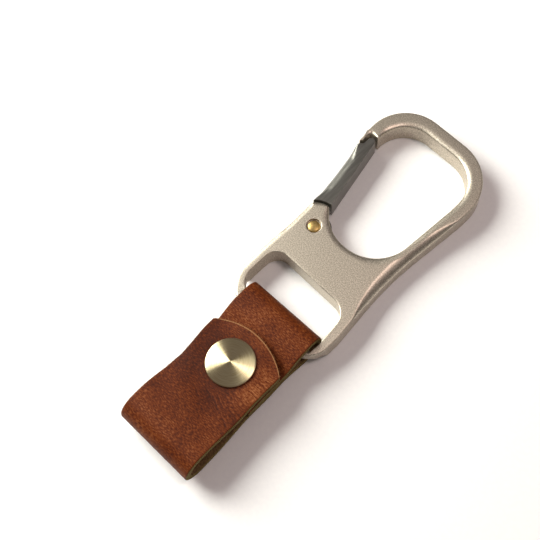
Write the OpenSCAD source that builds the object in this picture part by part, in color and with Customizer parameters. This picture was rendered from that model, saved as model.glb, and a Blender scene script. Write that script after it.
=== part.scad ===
// Carabiner bottle opener with a leather belt loop.
// The frame lies flat: +Z is up, the hook's far end is towards +Y, the gate is on the -X side,
// and the origin is on the back face, under the middle of the waist plate.

/* [Frame] */
// Thickness of the cast frame
frame_t = 7.2; // [6:0.1:9]
// Waist plate, from the slot's straight edge to the bottom of the hook loop
plate_h = 13.8; // [11:0.1:18]
// Inside length of the hook loop
loop_h = 44.2; // [38:0.1:54]
// Inside width of the hook loop at its far end
loop_w = 31.9; // [28:0.1:38]
// How far the loop's middle lies towards the gate
loop_shift = 2.25; // [1:0.05:3.5]
// Width of the rod along the loop's sides
rod_w = 4.15; // [3.4:0.05:5.2]
// Width of the rod across the far end
far_rod_w = 4.6; // [3.8:0.05:5.6]
// Radius of the loop's round bottom
loop_bottom_r = 13; // [11:0.1:14]
// How far the right wall is from the loop's round bottom
waist_wall = 3.8; // [3:0.1:5]

/* [Ring for the strap] */
// Width of the slot
slot_w = 30; // [29:0.1:36]
// Height of the slot
slot_h = 15.9; // [14.5:0.1:19]
// Width of the ring's side arms
arm_w = 2.7; // [2.2:0.1:4]
// Width of the bar that the strap hangs on
bar_w = 3.4; // [2.6:0.1:3.8]
// Thickness of the bar
bar_t = 4.2; // [3.6:0.1:4.5]

/* [Bevel] */
// Width of the long bevel at the middle of the right side
bevel_w = 2.9; // [1.5:0.1:3.2]
// Depth of that bevel
bevel_d = 3.8; // [2:0.1:4.5]
// Plan radius of the bevel's edge towards the loop
bevel_up_r = 72; // [60:1:90]
// Plan radius of the bevel's edge towards the ring
bevel_down_r = 42; // [36:1:60]

/* [Gate] */
// Distance of the gate pin from the left side of the waist
pin_edge = 5.6; // [5:0.1:7]
// Height of the gate pin above the middle of the waist plate
pin_y = 5.25; // [4:0.05:6.5]
// Diameter of the pin's shank
pin_d = 2.5; // [2:0.1:3]
// Diameter of the pin's heads
pin_head_d = 3.7; // [3.2:0.1:4.2]
// Radius of the ear's round end about the pin
ear_r = 7.9; // [7:0.1:8.5]
// Thickness of the gate bar
gate_t = 6.9; // [5.8:0.1:7]
// Thickness of the gate's tang
tang_t = 2.6; // [2:0.1:3]
// Length of the nose's lip
lip_h = 4.6; // [3.5:0.1:6]
// Width of the nose's lip
lip_w = 1.6; // [1.3:0.05:2]
// Wire of the gate spring
spring_wire = 0.4; // [0.3:0.05:0.5]

/* [Strap] */
// Width of the strap
strap_w = 25.4; // [20:0.1:25.6]
// Thickness of the leather
leather_t = 1.9; // [1.4:0.1:2.2]
// How far the strap's middle lies to the right of the frame's middle
strap_x = 2.4; // [1.5:0.1:2.6]
// Turn of the strap on the bar, in degrees
strap_turn = 2.4; // [0:0.1:2.6]
// Distance from the bar to the snap
snap_drop = 16.2; // [16:0.1:22]
// Distance from the snap to the bottom fold
fold_drop = 30.4; // [24:0.1:40]
// Height of the belt loop at the bottom fold
fold_h = 11; // [9:0.1:13]
// Height of the strap's back layer above the table
back_lift = 2; // [1.4:0.1:2.4]
// Distance from the snap to the end of the tongue
tongue_reach = 10.8; // [9:0.1:12]
// Radius of the tongue's round end
tongue_r = 19.5; // [15:0.5:40]

/* [Snap] */
// Diameter of the brass cap
cap_d = 14; // [12:0.1:16]
// Height of the cap at its rim
cap_rim = 0.6; // [0.4:0.05:0.9]
// Height of the cap's shallow cone above the rim
cap_cone = 0.9; // [0.5:0.05:1.2]
// Diameter of the stud's head
stud_d = 4; // [3.4:0.1:4.6]
// Diameter of the flanges that clamp the leather
flange_d = 9; // [8:0.1:11]
// Room that the stud and the socket take between the layers
snap_h = 1.35; // [1.2:0.05:2]

/* [Clearances] */
// Between the gate pin and the tang's bore, on the radius
pin_fit = 0.05; // [0.02:0.01:0.1]
// Between the tang and the ear's cheeks, on each side
cheek_fit = 0.1; // [0.05:0.01:0.2]
// Between the gate and the ear's round end
ear_gap = 0.6; // [0.4:0.05:0.9]
// Between the gate's tip and the nose
nose_gap = 0.7; // [0.5:0.05:1]
// Between the leather and the bar, all round
bar_fit = 0.55; // [0.45:0.05:0.8]
// Between the stud and the socket, on the radius
snap_fit = 0.15; // [0.1:0.01:0.25]
// Between layers that lie on each other and can part
layer_gap = 0.06; // [0.03:0.01:0.1]

/* [Hidden] */
arc_step = 6;
past = 1;

// Frame levels and places
mid_z = frame_t / 2;
slot_y = -plate_h / 2;
loop_y = plate_h / 2;
far_in_y = loop_y + loop_h;
far_out_y = far_in_y + far_rod_w;
loop_left = -loop_w / 2 - loop_shift;
loop_right = loop_w / 2 - loop_shift;
bottom_right = loop_right - 1.8;
wall_x = bottom_right + waist_wall;
slot_left = -slot_w / 2 + 0.8;
slot_right = slot_w / 2 + 0.8;
slot_end_y = slot_y - slot_h;
ring_end_y = slot_end_y - bar_w;
ring_left = slot_left - arm_w;
ring_right = slot_right + arm_w - 0.6;
waist_left = ring_left + 0.2;
bar_z = frame_t - bar_t / 2;
bar_y = slot_end_y - bar_w / 2;
arm_bottom_z = frame_t - bar_t;
bar_round = bar_t / 2 + 0.2;
side_left = 0.8;
side_right = 0.5;
bar_x0 = strap_x - strap_w / 2 - side_left;
bar_x1 = strap_x + strap_w / 2 + side_right;
corner_clear = 2.2;
wrap_clear = 4.4;
bevel_y = loop_y + 3.5;

// Ear and gate
pin_x = waist_left + pin_edge;
ear_top_a = 101;
ear_left_a = 139;
gate_in_r = ear_r + ear_gap;
gate_left_a = 136;
gate_right_a = 97;
slot_z = tang_t + 2 * cheek_fit;
tang_r = 5.2;
tang_room = 0.5;
nose_y = far_in_y - 11.7;
gate_tip_y = nose_y - nose_gap;
lip_x = loop_left - rod_w;
gate_tip_x = lip_x + lip_w + nose_gap + 0.1;
gate_tip_w = 2.2;
shoulder_y = nose_y - lip_h;
head_sink = 0.9;
head_room = 0.3;
spring_room = 0.35;
spring_r = pin_d / 2 + spring_room + spring_wire / 2;
pocket_r = spring_r + spring_wire / 2 + 0.25;
spring_pitch = spring_wire * 1.15;
coil_room = 0.15;
pocket_roof = 0.5;
coil_room_z = tang_t - pocket_roof - spring_room - spring_wire / 2 - coil_room;
coil_turns = max(1, floor(coil_room_z / spring_pitch));
spring_leg_a = 118;
coil_z = mid_z - tang_t / 2 + spring_room;
pocket_h = spring_room + coil_turns * spring_pitch + spring_wire / 2 + coil_room;

// Strap levels, as a side view: y along the strap, z up
half_t = leather_t / 2;
wrap_r = bar_t / 2 + bar_fit + half_t;
wrap_z = bar_z;
wrap_y = bar_y + 2.2;
snap_y = bar_y - snap_drop;
fold_r = fold_h / 2 - half_t;
fold_z = fold_h / 2;
fold_y = snap_y - fold_drop + fold_h / 2;
back_z = back_lift + leather_t;
inner_z = back_z + leather_t + layer_gap;
tongue_z = inner_z + leather_t + snap_h;
join_reach = 6.5;
rise_from = join_reach + 1.2;
tip_lift = 0.35;
cap_clear = 0.3;
hinge_gap = 0.15;
tongue_open_a = 75;

// Snap: the stud stands on the strap's inner layer, the socket hangs under the tongue
post_d = 2;
tube_wall = 0.35;
tube_d = stud_d + 2 * snap_fit + 2 * tube_wall;
flange_t = 0.35;
head_t = 0.6;
ring_wire = 0.35;
stud_z = inner_z + half_t;
socket_z = stud_z + flange_t + layer_gap;
socket_top = tongue_z - half_t;
groove_z = socket_z + (socket_top - socket_z) / 2;
cap_z = tongue_z + half_t;

function unit(v) = v / norm(v);
function polar(c, r, a) = c + r * [cos(a), sin(a)];
// Points of one rounded corner b between a and c; b[2] is its radius
function corner(a, b, c) =
    let (u = unit([a[0] - b[0], a[1] - b[1]]),
         v = unit([c[0] - b[0], c[1] - b[1]]),
         p = [b[0], b[1]],
         half = acos(max(-1, min(1, u * v))) / 2,
         reach = b[2] / tan(half),
         turn = 180 - 2 * half,
         side = sign(u[0] * v[1] - u[1] * v[0]),
         centre = p + unit(u + v) * b[2] / sin(half),
         from = p + u * reach - centre,
         start = atan2(from[1], from[0]),
         n = max(1, ceil(turn / arc_step)))
    b[2] <= 0 || turn < 0.5 ? [p]
    : [for (i = [0 : n]) polar(centre, b[2], start - side * turn * i / n)];
function rounded(pts) =
    let (n = len(pts))
    [for (i = [0 : n - 1]) each corner(pts[(i + n - 1) % n], pts[i], pts[(i + 1) % n])];
// A round bend of radius r about c, from angle a to angle b
function bend(c, r, a, b) =
    let (n = ceil(abs(b - a) / arc_step))
    [for (i = [0 : n]) polar(c, r, a + (b - a) * i / n)];
// Outline of a strip of thickness t along a path of points
function strip(path, t) =
    let (n = len(path),
         side = [for (i = [0 : n - 1])
             let (d = unit(path[min(i + 1, n - 1)] - path[max(i - 1, 0)]))
             [-d[1], d[0]] * t / 2])
    concat([for (i = [0 : n - 1]) path[i] + side[i]],
           [for (i = [n - 1 : -1 : 0]) path[i] - side[i]]);

// ---- Frame ----
ear_mid = (ear_top_a + ear_left_a) / 2;
ear_half = (ear_left_a - ear_top_a) / 2;
pin_c = [pin_x, pin_y];
ear_tip = polar(pin_c, ear_r / cos(ear_half), ear_mid);
ear_top = polar(pin_c, ear_r, ear_top_a);
ear_left = polar(pin_c, ear_r, ear_left_a);
frame_outline = rounded([
    [ring_left + 0.2, ring_end_y, 8.5],
    [ring_right, ring_end_y, 7.6],
    [ring_right + 0.1, slot_y - 7.6, 12],
    [wall_x - 0.25, loop_y + 2.1, 110],
    [loop_right + rod_w, far_in_y - 14, 40],
    [loop_right + rod_w, far_out_y, 15.5],
    [loop_left - rod_w, far_out_y, 13.3],
    [loop_left - rod_w, nose_y + 1, 20],
    [lip_x + 0.75, shoulder_y, 0.2],
    [lip_x + lip_w, shoulder_y + 1.1, 0.2],
    [lip_x + lip_w, nose_y, 0.3],
    [loop_left + 0.2, nose_y + 0.2, 0.4],
    [loop_left + 0.3, nose_y + 1.1, 0.4],
    [loop_left, far_in_y, 10],
    [loop_right, far_in_y, 11.5],
    [loop_right, far_in_y - 14.5, 30],
    [bottom_right, loop_y, loop_bottom_r],
    [ear_top[0] + ear_top[1] - loop_y, loop_y, loop_bottom_r],
    [ear_top[0], ear_top[1], 1],
    [ear_tip[0], ear_tip[1], ear_r - 1.7],
    [ear_left[0], ear_left[1], 1.2],
    [waist_left, 0, 60],
    [ring_left, slot_y - 4, 30]
]);
slot_outline = rounded([
    [slot_left, slot_y, 4.5],
    [slot_right - 1.6, slot_y, 5.8],
    [slot_right, slot_end_y, 3],
    [slot_left, slot_end_y, 6]
]);

// One half of the long bevel: the cut of a ring about a far axis, from the middle outwards
module bevel_half(r, way) {
    reach = loop_h + plate_h;
    intersection() {
        translate([wall_x - bevel_w + r, bevel_y, 0])
            rotate_extrude($fn = 180)
                polygon([
                    [r + 0.2, frame_t + past / 2],
                    [r, frame_t],
                    [r - bevel_w * 0.62, frame_t - bevel_d * 0.3],
                    [r - bevel_w, frame_t - bevel_d],
                    [r - bevel_w - 4, frame_t - bevel_d - 0.01],
                    [r - bevel_w - 4, frame_t + past / 2]
                ]);
        translate([0, way > 0 ? bevel_y : bevel_y - reach, 0])
            cube([wall_x + reach / 2, reach, frame_t + past]);
    }
}

module body() {
    color([0.72, 0.69, 0.63]) {
        difference() {
            linear_extrude(frame_t) {
                difference() {
                    polygon(frame_outline);
                    polygon(slot_outline);
                }
            }
            // The bar's edges are rounded about its own axis, so that the strap can turn on it
            translate([bar_x0, ring_end_y - past, -past])
                difference() {
                    cube([bar_x1 - bar_x0, bar_w + past + wrap_clear, frame_t + 2 * past]);
                    translate([-past, bar_y - ring_end_y + past, bar_z + past])
                        rotate([0, 90, 0])
                            cylinder(h = bar_x1 - bar_x0 + 2 * past, r = bar_round, $fn = 64);
                }
            // The ring's lower corners are thinner at the back, so the strap can lie under them
            translate([ring_left - past, ring_end_y - past, -past])
                cube([ring_right - ring_left + 2 * past, bar_w + corner_clear + past, arm_bottom_z + past]);
            bevel_half(bevel_up_r, 1);
            bevel_half(bevel_down_r, -1);
            // Pin bores and the sinks for its heads
            translate([pin_x, pin_y, -past])
                cylinder(h = frame_t + 2 * past, d = pin_d, $fn = 48);
            translate([pin_x, pin_y, frame_t - head_sink])
                cylinder(h = past + head_sink, d = pin_head_d + 2 * head_room, $fn = 48);
            translate([pin_x, pin_y, -past])
                cylinder(h = past + head_sink, d = pin_head_d + 2 * head_room, $fn = 48);
            // Slot in the ear for the tang
            translate([0, 0, mid_z - slot_z / 2]) {
                translate([pin_x, pin_y, 0])
                    cylinder(h = slot_z, r = tang_r + tang_room, $fn = 64);
                translate([pin_x, pin_y, 0])
                    linear_extrude(slot_z)
                        polygon([[0, 0], polar([0, 0], 20, 62), polar([0, 0], 24, 110),
                                 polar([0, 0], 20, 178)]);
            }
        }
    }
}

// ---- Gate ----
gate_outline = rounded(concat(
    [for (p = bend(pin_c, gate_in_r, gate_left_a, gate_right_a)) [p[0], p[1], 0]],
    [[gate_tip_x + gate_tip_w, gate_tip_y - 0.5, 0.3],
     [gate_tip_x + gate_tip_w - 0.7, gate_tip_y, 0.2],
     [gate_tip_x + 0.7, gate_tip_y, 0.3],
     [gate_tip_x, gate_tip_y - 0.8, 0.3],
     [gate_tip_x - 0.05, shoulder_y + 0.7, 0.3],
     [gate_tip_x - 1.3, shoulder_y - 0.7, 0.3],
     [gate_tip_x + 1.15, pin_y + 16.5, 40]]
));

module gate() {
    color([0.34, 0.34, 0.34]) {
        translate([0, 0, mid_z - gate_t / 2])
            linear_extrude(gate_t)
                polygon(gate_outline);
        difference() {
            translate([0, 0, mid_z - tang_t / 2]) {
                translate([pin_x, pin_y, 0])
                    cylinder(h = tang_t, r = tang_r, $fn = 64);
                translate([pin_x, pin_y, 0])
                    linear_extrude(tang_t)
                        polygon([polar([0, 0], tang_r - 0.2, 90), polar([0, 0], gate_in_r + 1, 100),
                                 polar([0, 0], gate_in_r + 1, 134), polar([0, 0], tang_r - 0.2, 150),
                                 [0, 0]]);
            }
            translate([pin_x, pin_y, -past])
                cylinder(h = frame_t + 2 * past, r = pin_d / 2 + pin_fit, $fn = 48);
            // Pocket for the spring's coils, open on the tang's lower side
            translate([pin_x, pin_y, mid_z - tang_t / 2 - past])
                cylinder(h = past + pocket_h, r = pocket_r, $fn = 48);
            // Groove for the spring's upper leg
            translate([pin_x, pin_y, mid_z - tang_t / 2 - past])
                rotate(spring_leg_a)
                    translate([0, -spring_r - spring_wire, 0])
                        cube([tang_r + 2, 2 * spring_wire, past + pocket_h]);
        }
    }
}

module gate_pin() {
    color([0.72, 0.58, 0.3])
        translate([pin_x, pin_y, 0])
            rotate_extrude($fn = 64)
                polygon(concat(
                    [[0, 0.1], [pin_head_d / 2, 0.25], [pin_head_d / 2, head_sink], [pin_d / 2, head_sink],
                     [pin_d / 2, frame_t - head_sink], [pin_head_d / 2, frame_t - head_sink]],
                    [for (a = [0 : 15 : 90])
                        [pin_head_d / 2 * cos(a), frame_t - head_sink + 0.25 + 0.6 * sin(a)]]));
}

// Torsion spring: coils round the pin, with one leg in the tang's groove
spring_turn = 18;
spring_from = spring_leg_a - 90;
spring_steps = coil_turns * 360 / spring_turn;
leg_in_pocket = 0.5;
leg_in_groove = 2.2;
function coil_frame(i) =
    let (k = max(0, min(spring_steps, i)),
         a = spring_from + k * spring_turn,
         run = i < 0 ? -leg_in_pocket : i > spring_steps ? leg_in_groove : 0)
    [[spring_r * cos(a) - run * sin(a),
      spring_r * sin(a) + run * cos(a),
      k * spring_turn / 360 * spring_pitch],
     [cos(a), sin(a), 0]];
spring_sides = 8;
module gate_spring() {
    rings = spring_steps + 3;
    color([0.6, 0.6, 0.6])
        translate([pin_x, pin_y, coil_z])
            polyhedron(
                points = [for (i = [-1 : spring_steps + 1])
                    let (f = coil_frame(i))
                    for (j = [0 : spring_sides - 1])
                        let (b = j * 360 / spring_sides)
                        f[0] + spring_wire / 2 * (cos(b) * f[1] + sin(b) * [0, 0, 1])],
                faces = concat(
                    [[for (j = [spring_sides - 1 : -1 : 0]) j]],
                    [for (i = [0 : rings - 2]) for (j = [0 : spring_sides - 1])
                        let (k = (j + 1) % spring_sides)
                        [i * spring_sides + k, (i + 1) * spring_sides + k,
                         (i + 1) * spring_sides + j, i * spring_sides + j]],
                    [[for (j = [0 : spring_sides - 1]) (rings - 1) * spring_sides + j]]
                )
            );
}

// ---- Strap ----
// Places a side view (y, z) as a solid of the strap's width, turned with the strap
module strap_place() {
    translate([strap_x, bar_y, 0])
        rotate(strap_turn)
            translate([0, -bar_y, 0])
                children();
}
module strap_solid(outline, w) {
    translate([-w / 2, 0, 0])
        rotate([90, 0, 90])
            linear_extrude(w)
                polygon(outline);
}
wrap_c = [wrap_y, wrap_z];
fold_c = [fold_y, fold_z];
inner_path = concat(
    [[snap_y - join_reach, inner_z], [snap_y + rise_from, inner_z]],
    [[bar_y - 2.2, wrap_z + wrap_r - 0.1]],
    bend(wrap_c, wrap_r, 90, -90),
    [[bar_y - 1.5, wrap_z - wrap_r + 0.2]],
    [[snap_y + join_reach + 1, back_z - 0.15]],
    [[snap_y + join_reach - 1, back_z], [snap_y - join_reach, back_z]],
    [[snap_y - join_reach - 2, back_z - 0.25]],
    bend(fold_c, fold_r, 272, 180)
);
tongue_path = concat(
    bend(fold_c, fold_r, 180, 84),
    [[snap_y - join_reach - 5, tongue_z - 0.4], [snap_y - join_reach - 1, tongue_z - 0.5],
     [snap_y - 4.6, tongue_z], [snap_y + cap_d / 2 + cap_clear, tongue_z],
     [snap_y + tongue_reach, tongue_z + tip_lift]]
);
hinge_c = [fold_y - fold_r, fold_z];

module snap_hole(d) {
    translate([0, snap_y, -past])
        cylinder(h = fold_h + 2 * past, d = d, $fn = 48);
}
// The leather bends at the bottom fold, round this line
module hinge_line(r) {
    translate([-strap_w / 2, hinge_c[0], hinge_c[1]])
        rotate([0, 90, 0])
            cylinder(h = strap_w, r = r, $fn = 32);
}
module strap_back() {
    color([0.6, 0.33, 0.16])
        strap_place()
            difference() {
                strap_solid(strip(inner_path, leather_t), strap_w);
                snap_hole(post_d + 0.1);
                hinge_line(half_t + hinge_gap);
                // The outer side is open as far as the tongue turns
                translate([-strap_w / 2 - past, hinge_c[0], hinge_c[1]])
                    rotate([tongue_open_a, 0, 0])
                        translate([0, -half_t - 2 * hinge_gap, 0])
                            cube([strap_w + 2 * past, half_t + 2 * hinge_gap, fold_r]);
            }
}
module strap_tongue() {
    color([0.55, 0.3, 0.15])
        strap_place() {
            difference() {
                strap_solid(strip(tongue_path, leather_t), strap_w);
                snap_hole(tube_d + 0.1);
                // The tongue's round end
                translate([0, snap_y + tongue_reach - tongue_r, 0])
                    difference() {
                        translate([-strap_w, 0, 0])
                            cube([2 * strap_w, 2 * tongue_r, fold_h + 2 * past]);
                        translate([0, 0, -past])
                            cylinder(h = fold_h + 4 * past, r = tongue_r, $fn = 180);
                    }
            }
            hinge_line(half_t);
        }
}

// ---- Snap ----
module snap_turn(profile) {
    strap_place()
        translate([0, snap_y, 0])
            rotate_extrude($fn = 96)
                polygon(profile);
}
cap_r = cap_d / 2;
tube_r = tube_d / 2;
flange_r = flange_d / 2;
stud_r = stud_d / 2;
post_r = post_d / 2;
mouth_r = stud_r + snap_fit;

// Cap with the tube that goes down through the tongue's hole
module snap_cap() {
    color([0.78, 0.64, 0.36])
        snap_turn([[0, cap_z], [tube_r - tube_wall, cap_z], [tube_r - tube_wall, socket_top],
                   [tube_r, socket_top], [tube_r, cap_z], [cap_r - 0.25, cap_z],
                   [cap_r, cap_z + 0.2], [cap_r, cap_z + cap_rim - 0.1],
                   [cap_r - 0.2, cap_z + cap_rim], [0, cap_z + cap_rim + cap_cone]]);
}
module snap_socket() {
    color([0.7, 0.56, 0.3])
        snap_turn([[mouth_r, socket_z], [flange_r - 0.2, socket_z], [flange_r, socket_z + 0.15],
                   [flange_r, socket_top], [mouth_r, socket_top],
                   [mouth_r, groove_z + ring_wire * 0.6], [mouth_r + 0.4, groove_z + ring_wire * 0.6],
                   [mouth_r + 0.4, groove_z - ring_wire * 0.6], [mouth_r, groove_z - ring_wire * 0.6]]);
}
// Split wire ring in the socket's groove
module snap_ring() {
    color([0.6, 0.6, 0.6])
        strap_place()
            translate([0, snap_y, groove_z])
                rotate_extrude(angle = 320, $fn = 64)
                    translate([stud_r + 0.06 + ring_wire / 2, 0])
                        circle(d = ring_wire, $fn = 16);
}
module snap_stud() {
    color([0.7, 0.56, 0.3])
        snap_turn([[post_r + 0.02, stud_z], [flange_r, stud_z], [flange_r, stud_z + flange_t],
                   [stud_r - 0.3, stud_z + flange_t], [stud_r - 0.3, stud_z + flange_t + 0.3],
                   [stud_r, stud_z + flange_t + 0.6], [stud_r, stud_z + flange_t + 1],
                   [stud_r - 0.4, stud_z + flange_t + 1.3], [post_r + 0.02, stud_z + flange_t + 1.3]]);
}
// Post from the strap's back, its head against the leather
module snap_post() {
    color([0.7, 0.56, 0.3])
        snap_turn([[0, back_z - half_t - head_t], [flange_r - 0.3, back_z - half_t - head_t],
                   [flange_r, back_z - half_t - head_t + 0.25], [flange_r, back_z - half_t],
                   [post_r, back_z - half_t], [post_r, stud_z + flange_t + 1.1],
                   [0, stud_z + flange_t + 1.1]]);
}

body();
gate();
gate_pin();
gate_spring();
strap_back();
strap_tongue();
snap_cap();
snap_socket();
snap_ring();
snap_stud();
snap_post();
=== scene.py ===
"""Looks of the carabiner bottle opener and its leather belt loop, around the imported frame.
Lengths in this script are millimetres until a mesh is made; meshes are in metres."""
import math
import random

import bpy
import numpy as np
from mathutils import Matrix, Quaternion, Vector
from mathutils.geometry import delaunay_2d_cdt


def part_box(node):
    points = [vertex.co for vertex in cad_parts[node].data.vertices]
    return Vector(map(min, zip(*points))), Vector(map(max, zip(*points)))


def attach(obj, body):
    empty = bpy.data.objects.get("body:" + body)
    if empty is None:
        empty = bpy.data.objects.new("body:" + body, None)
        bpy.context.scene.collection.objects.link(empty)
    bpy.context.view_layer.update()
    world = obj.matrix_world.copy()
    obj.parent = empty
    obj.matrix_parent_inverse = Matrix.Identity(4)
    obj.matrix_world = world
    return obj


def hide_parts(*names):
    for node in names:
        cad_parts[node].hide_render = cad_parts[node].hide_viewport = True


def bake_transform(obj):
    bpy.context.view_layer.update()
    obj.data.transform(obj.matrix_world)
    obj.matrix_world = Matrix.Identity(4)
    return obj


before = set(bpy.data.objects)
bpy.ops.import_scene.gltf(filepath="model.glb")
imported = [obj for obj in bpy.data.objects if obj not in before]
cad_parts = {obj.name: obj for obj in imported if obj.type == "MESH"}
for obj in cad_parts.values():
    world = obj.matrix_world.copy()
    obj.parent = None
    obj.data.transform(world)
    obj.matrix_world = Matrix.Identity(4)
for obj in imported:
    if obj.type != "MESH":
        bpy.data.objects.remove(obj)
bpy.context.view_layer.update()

MM = 0.001


# ---- Sizes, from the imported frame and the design's own values ----
def box_mm(node):
    low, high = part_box(node)
    return np.array(low) / MM, np.array(high) / MM


BODY_LOW, BODY_HIGH = box_mm("body")
GATE_LOW, GATE_HIGH = box_mm("gate")
PIN_LOW, PIN_HIGH = box_mm("gate_pin")
CAP_LOW, CAP_HIGH = box_mm("snap_cap")
POST_LOW, POST_HIGH = box_mm("snap_post")

FRAME_T = BODY_HIGH[2]
MID_Z = FRAME_T / 2
PIN = (PIN_LOW + PIN_HIGH)[:2] / 2
RING_END_Y = BODY_LOW[1]
FAR_OUT_Y = BODY_HIGH[1]
PLATE_H = 13.8
ROD_W = 4.15
FAR_ROD_W = 4.6
ARM_W = 2.7
BAR_W = 3.4
BAR_T = 4.2
SIDE_LEFT, SIDE_RIGHT, WRAP_CLEAR = 0.8, 0.5, 4.4
LOOP_W = 31.9
LOOP_SHIFT = 2.25
LOOP_BOTTOM_R = 13.0
WAIST_WALL = 3.8
SLOT_W = 30.0
SLOT_Y = -PLATE_H / 2
LOOP_Y = PLATE_H / 2
FAR_IN_Y = FAR_OUT_Y - FAR_ROD_W
LOOP_LEFT = -LOOP_W / 2 - LOOP_SHIFT
LOOP_RIGHT = LOOP_W / 2 - LOOP_SHIFT
BOTTOM_RIGHT = LOOP_RIGHT - 1.8
WALL_X = BOTTOM_RIGHT + WAIST_WALL
SLOT_LEFT = -SLOT_W / 2 + 0.8
SLOT_RIGHT = SLOT_W / 2 + 0.8
SLOT_END_Y = RING_END_Y + BAR_W
RING_LEFT = SLOT_LEFT - ARM_W
RING_RIGHT = SLOT_RIGHT + ARM_W - 0.6
WAIST_LEFT = RING_LEFT + 0.2
BAR_Y = SLOT_END_Y - BAR_W / 2
BAR_Z = FRAME_T - BAR_T / 2
LOOP_CENTRE = np.array([-LOOP_SHIFT, LOOP_Y + 22.0])

EAR_R = 7.9
EAR_TOP_A, EAR_LEFT_A = 101.0, 139.0
EAR_GAP = 0.6
GATE_IN_R = EAR_R + EAR_GAP
TANG_R = 5.2
TANG_T = 2.6
CHEEK_FIT = 0.1
POCKET_H, POCKET_R = 2.08, 2.25
WIRE_D, COIL_R, COIL_ROOM = 0.4, 1.8, 0.35
LEG_ANGLE, LEG_GROOVE = 118, 5.6
TUBE_IN_R, TUBE_R = 2.1, 2.45
PIN_D = 2.5
PIN_HEAD_D = 3.7
HEAD_SINK = 0.9
NOSE_Y = FAR_IN_Y - 11.7
LIP_X = LOOP_LEFT - ROD_W
LIP_W = 1.6
SHOULDER_Y = NOSE_Y - 4.6
NOSE_GAP = 0.7
GATE_TIP_Y = NOSE_Y - NOSE_GAP
GATE_TIP_X = LIP_X + LIP_W + NOSE_GAP + 0.1
GATE_TIP_W = 2.2

# The long bevel on the right: how wide and deep at its middle, and its plan radii up and down
BEVEL_Y = LOOP_Y + 3.5
BEVEL_W, BEVEL_D = 2.9, 2.3
BEVEL_UP_R, BEVEL_DOWN_R = 72.0, 42.0

# Leather strap
STRAP_W = 25.4
LEATHER_T = 1.9
HALF_T = LEATHER_T / 2
STRAP_X = 2.4
STRAP_TURN = math.radians(2.4)
SNAP_Y = BAR_Y - 16.2
FOLD_H = 11.0
FOLD_R = FOLD_H / 2 - HALF_T
FOLD_Z = FOLD_H / 2
FOLD_Y = SNAP_Y - 30.4 + FOLD_H / 2
BACK_Z = 2.0 + LEATHER_T
INNER_Z = BACK_Z + LEATHER_T + 0.06
TONGUE_Z = INNER_Z + LEATHER_T + 1.35
WRAP_R = BAR_T / 2 + 0.55 + HALF_T
WRAP_Z = BAR_Z
WRAP_Y = BAR_Y + 2.2
JOIN = 6.5
TONGUE_REACH = 10.8
TONGUE_R = 19.5


# ---- Small geometry tools ----
def unit(v):
    return v / max(np.linalg.norm(v), 1e-12)


def polar(centre, radius, degrees):
    a = math.radians(degrees)
    return np.array(centre, float) + radius * np.array([math.cos(a), math.sin(a)])


def smoothstep(x):
    x = np.clip(x, 0, 1)
    return x * x * (3 - 2 * x)


ARC_TURN = math.radians(9)
ARC_STEP = 0.45


def corner(before, at, after):
    """Points of the arc, of radius at[2], that rounds one corner of an outline."""
    p = np.array(at[:2], float)
    u, v = unit(np.array(before[:2]) - p), unit(np.array(after[:2]) - p)
    half = math.acos(max(-1.0, min(1.0, float(u @ v)))) / 2
    turn = math.pi - 2 * half
    if at[2] <= 0 or turn < math.radians(0.5):
        return [p]
    centre = p + unit(u + v) * at[2] / math.sin(half)
    start = p + u * at[2] / math.tan(half) - centre
    a0 = math.atan2(start[1], start[0])
    side = math.copysign(1, u[0] * v[1] - u[1] * v[0])
    n = math.ceil(max(turn / ARC_TURN, turn * at[2] / ARC_STEP))
    return [polar(centre, at[2], math.degrees(a0 - side * turn * i / n)) for i in range(n + 1)]


def outline(points):
    """A closed outline with rounded corners, anticlockwise, in short steps."""
    n = len(points)
    rough = [p for i in range(n) for p in corner(points[i - 1], points[i], points[(i + 1) % n])]
    fine = []
    for a, b in zip(rough, rough[1:] + rough[:1]):
        length = np.linalg.norm(b - a)
        if length > 1e-4:
            k = max(1, math.ceil(length / ARC_STEP))
            fine += [a + (b - a) * i / k for i in range(k)]
    fine = np.array(fine)
    x, y = fine.T
    area = (x * np.roll(y, -1) - y * np.roll(x, -1)).sum()
    return fine if area > 0 else fine[::-1]


def circle(centre, radius, n=64):
    return np.array([polar(centre, radius, 360 * i / n) for i in range(n)])


def make_mesh(name, points, faces, materials, material_of=None):
    """A mesh object at the origin, in metres, from points in millimetres."""
    mesh = bpy.data.meshes.new(name)
    mesh.from_pydata((np.array(points) * MM).tolist(), [], faces)
    for m in materials:
        mesh.materials.append(m)
    if material_of is not None:
        mesh.polygons.foreach_set("material_index", np.array(material_of, np.int32))
    mesh.update()
    obj = bpy.data.objects.new(name, mesh)
    bpy.context.scene.collection.objects.link(obj)
    return obj


def smooth(obj, degrees=32):
    """Smooth shading, with edges sharper than this left crisp."""
    obj.data.polygons.foreach_set("use_smooth", [True] * len(obj.data.polygons))
    obj.data.set_sharp_from_angle(angle=math.radians(degrees))
    return obj


def evaluated_mesh(obj):
    """Makes the object's modifiers part of its mesh and removes them."""
    mesh = bpy.data.meshes.new_from_object(obj.evaluated_get(bpy.context.evaluated_depsgraph_get()))
    obj.modifiers.clear()
    old, obj.data = obj.data, mesh
    bpy.data.meshes.remove(old)
    return obj


def flat_faces(obj):
    """Large faces keep their own normals, so that a rolled edge doesn't shade them."""
    m = obj.modifiers.new("normals", "WEIGHTED_NORMAL")
    m.keep_sharp = True
    return evaluated_mesh(obj)


def combine(obj, other, operation):
    """Cuts other from obj or joins it on, and removes other."""
    m = obj.modifiers.new("cut", "BOOLEAN")
    m.operation = operation
    m.solver = "EXACT"
    m.object = other
    evaluated_mesh(obj)
    bpy.data.objects.remove(other)
    return obj


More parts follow.
